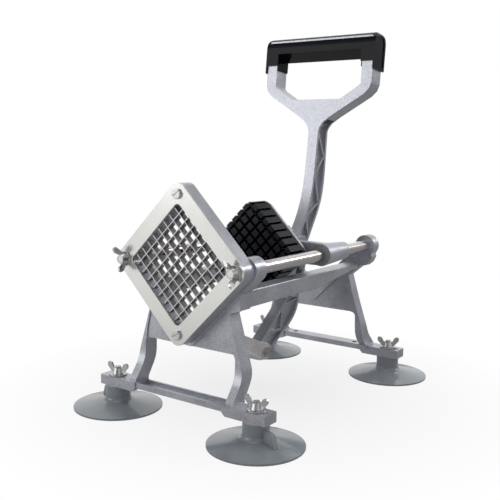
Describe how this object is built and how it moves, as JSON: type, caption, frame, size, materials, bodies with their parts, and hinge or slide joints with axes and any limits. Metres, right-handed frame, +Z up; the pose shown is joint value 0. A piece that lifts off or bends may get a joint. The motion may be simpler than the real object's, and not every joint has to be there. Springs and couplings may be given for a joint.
{
  "type": "french fry cutter",
  "caption": "Lever-operated fry cutter: square blade grid standing on its corner, pegged pusher on guide rods, D-handle lever and suction-cup feet.",
  "frame": {"origin": "on the floor, midway between the four feet", "axes": "X across the cutter, -Y towards the blade head, +Y towards the rear legs, +Z up"},
  "size_m": [0.2582, 0.3552, 0.387],
  "materials": {
    "frame_casting": "satin cast, silver lacquer",
    "carriage_casting": "satin cast, silver lacquer",
    "lever_casting_metal": "satin cast, silver lacquer",
    "plate_steel": "brushed",
    "blade_steel": "ground",
    "screw_steel": "bright",
    "rod_steel": "polished",
    "fastener_steel": "zinc plated",
    "nut_steel": "zinc plated",
    "pin_steel": "ground",
    "roller_steel": "ground",
    "pusher_plastic": "matt black",
    "bush_plastic": "matt grey",
    "grip_plastic": "gloss black",
    "cup_rubber": "grey rubber"
  },
  "bodies": {
    "frame": {"front_frame": "frame_casting", "rear_frame": "frame_casting", "side_rail_left": "frame_casting", "side_rail_right": "frame_casting", "pivot_strut": "frame_casting", "blade_head_frame": "frame_casting", "blade_cover_plate": "plate_steel", "blade_strips_rising": "blade_steel", "blade_strips_falling": "blade_steel", "cover_screws": "screw_steel", "guide_rod_left": "rod_steel", "guide_rod_right": "rod_steel", "rod_end_washers": "fastener_steel", "rod_end_bolts": "fastener_steel", "head_washers": "fastener_steel", "foot_washers": "fastener_steel", "cup_studs": "fastener_steel", "lever_pivot_pin": "pin_steel", "pivot_pin_clip": "pin_steel", "suction_cup_front_left": "cup_rubber", "suction_cup_front_right": "cup_rubber", "suction_cup_rear_left": "cup_rubber", "suction_cup_rear_right": "cup_rubber"},
    "carriage": {"carriage": "carriage_casting", "carriage_bushes": "bush_plastic", "pusher_block": "pusher_plastic", "pusher_backing_plate": "pusher_plastic", "pusher_screws": "screw_steel"},
    "lever": {"lever_casting": "lever_casting_metal", "handle_grip": "grip_plastic", "yoke_pin": "pin_steel", "yoke_pin_clips": "pin_steel"},
    "roller_left": {"yoke_roller_left": "roller_steel"},
    "roller_right": {"yoke_roller_right": "roller_steel"},
    "head_wing_nut_left": {"head_wing_nut_left": "nut_steel"},
    "head_wing_nut_right": {"head_wing_nut_right": "nut_steel"},
    "foot_wing_nut_front_left": {"foot_wing_nut_front_left": "nut_steel"},
    "foot_wing_nut_front_right": {"foot_wing_nut_front_right": "nut_steel"},
    "foot_wing_nut_rear_left": {"foot_wing_nut_rear_left": "nut_steel"},
    "foot_wing_nut_rear_right": {"foot_wing_nut_rear_right": "nut_steel"}
  },
  "joints": [
    {"name": "lever_hinge", "type": "hinge", "parent": "frame", "child": "lever", "pos_m": [0, -0.01, 0.046], "axis": [1, 0, 0], "range_deg": [-18, 58.2]},
    {"name": "carriage_slide", "type": "slide", "parent": "frame", "child": "carriage", "axis": [0, -1, 0], "range_m": [-0.033, 0.1055]},
    {"name": "roller_left_spin", "type": "hinge", "parent": "lever", "child": "roller_left", "pos_m": [0, 0.05095, 0.13272], "axis": [1, 0, 0], "continuous": true},
    {"name": "roller_right_spin", "type": "hinge", "parent": "lever", "child": "roller_right", "pos_m": [0, 0.05095, 0.13272], "axis": [1, 0, 0], "continuous": true},
    {"name": "head_wing_nut_left_turn", "type": "hinge", "parent": "frame", "child": "head_wing_nut_left", "pos_m": [-0.0654, -0.1429, 0.153], "axis": [0, -1, 0], "continuous": true},
    {"name": "head_wing_nut_right_turn", "type": "hinge", "parent": "frame", "child": "head_wing_nut_right", "pos_m": [0.0654, -0.1429, 0.153], "axis": [0, -1, 0], "continuous": true},
    {"name": "foot_wing_nut_front_left_turn", "type": "hinge", "parent": "frame", "child": "foot_wing_nut_front_left", "pos_m": [-0.0848, -0.1333, 0.0337], "axis": [0, 0, 1], "continuous": true},
    {"name": "foot_wing_nut_front_right_turn", "type": "hinge", "parent": "frame", "child": "foot_wing_nut_front_right", "pos_m": [0.0848, -0.1333, 0.0337], "axis": [0, 0, 1], "continuous": true},
    {"name": "foot_wing_nut_rear_left_turn", "type": "hinge", "parent": "frame", "child": "foot_wing_nut_rear_left", "pos_m": [-0.0848, 0.1333, 0.0337], "axis": [0, 0, 1], "continuous": true},
    {"name": "foot_wing_nut_rear_right_turn", "type": "hinge", "parent": "frame", "child": "foot_wing_nut_rear_right", "pos_m": [0.0848, 0.1333, 0.0337], "axis": [0, 0, 1], "continuous": true}
  ],
  "couplings": [
    {"joint": "carriage_slide", "follows": "lever_hinge", "m_per_rad": 0.10335}
  ]
}
